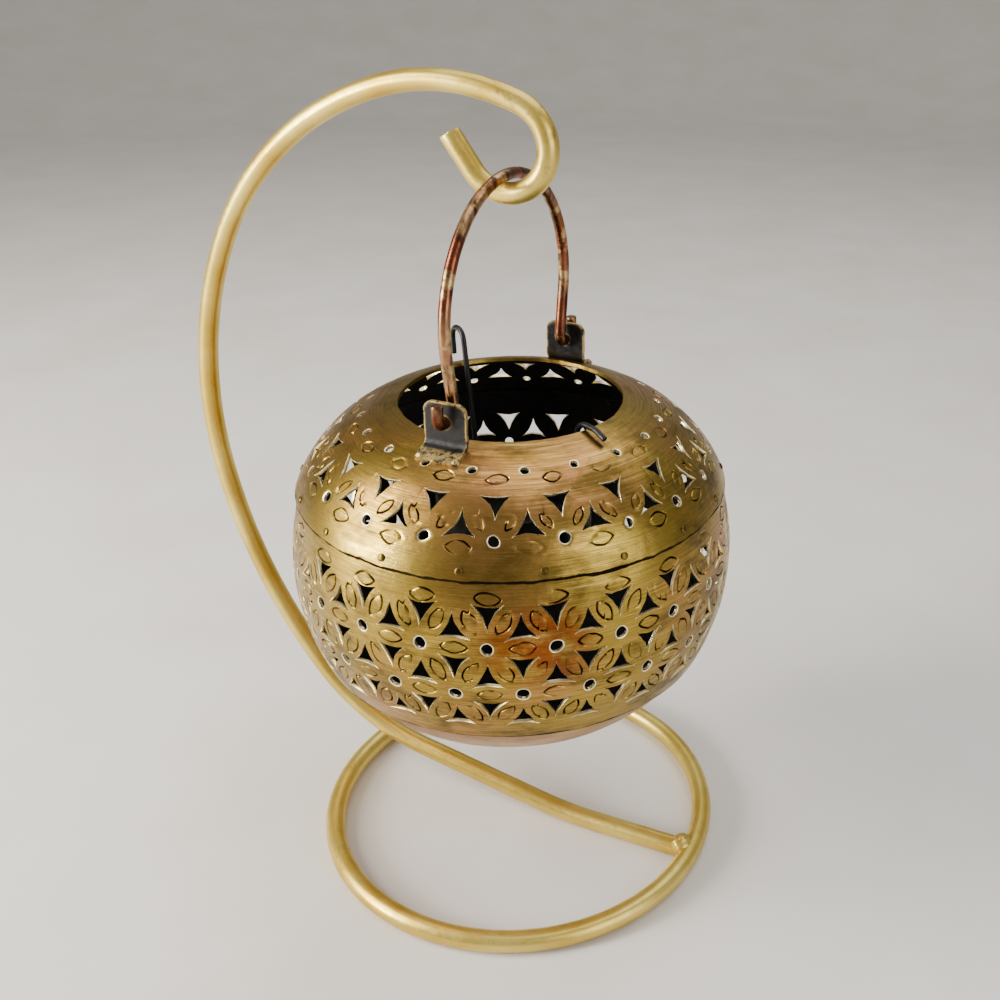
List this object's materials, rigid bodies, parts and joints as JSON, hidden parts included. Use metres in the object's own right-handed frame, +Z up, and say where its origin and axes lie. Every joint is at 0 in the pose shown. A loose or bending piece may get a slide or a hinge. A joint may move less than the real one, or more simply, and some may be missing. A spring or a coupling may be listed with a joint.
{
  "type": "pierced globe lantern on a hook stand",
  "caption": "Pierced brass globe lantern with an open mouth, hanging by a wire bail from a bent rod stand with a ring base.",
  "frame": {"origin": "on the table at the centre of the base ring, under the hook", "axes": "+Z up, the stand's rod lies in the XZ plane with the weld at +X and the belly of the rod at -X, the bail spans the YZ plane"},
  "size_m": [0.1704, 0.1238, 0.2276],
  "materials": {
    "gold_rod": "satin gold paint on a steel rod, worn at the hook",
    "coppered_wire": "heat-browned copper-coloured wire",
    "antique_brass": "brushed antique brass with darkened recesses",
    "blackened_sheet": "blackened steel, brass showing at worn edges",
    "solder": "rough filler metal"
  },
  "bodies": {
    "stand": {"base_ring": "gold_rod", "hook_rod": "gold_rod", "base_weld": "gold_rod"},
    "bail": {"bail": "coppered_wire"},
    "lantern": {"dome_shell": "antique_brass", "bowl_shell": "antique_brass", "bottom_dish": "antique_brass", "lug_front": "blackened_sheet", "lug_back": "blackened_sheet", "lug_solder": "solder", "seam_rivets": "solder"},
    "cup": {"burner_cup": "blackened_sheet", "cup_hooks": "blackened_sheet"}
  },
  "joints": [
    {"name": "bail_swing", "type": "hinge", "parent": "stand", "child": "bail", "pos_m": [0, 0, 0.19744], "axis": [1, 0, 0], "range_deg": [-30, 30]},
    {"name": "lantern_tilt", "type": "hinge", "parent": "bail", "child": "lantern", "pos_m": [0, 0, 0.14707], "axis": [0, 1, 0], "range_deg": [-25, 25]},
    {"name": "cup_lift", "type": "slide", "parent": "lantern", "child": "cup", "axis": [0, 0, 1], "range_m": [0, 0.04]}
  ]
}
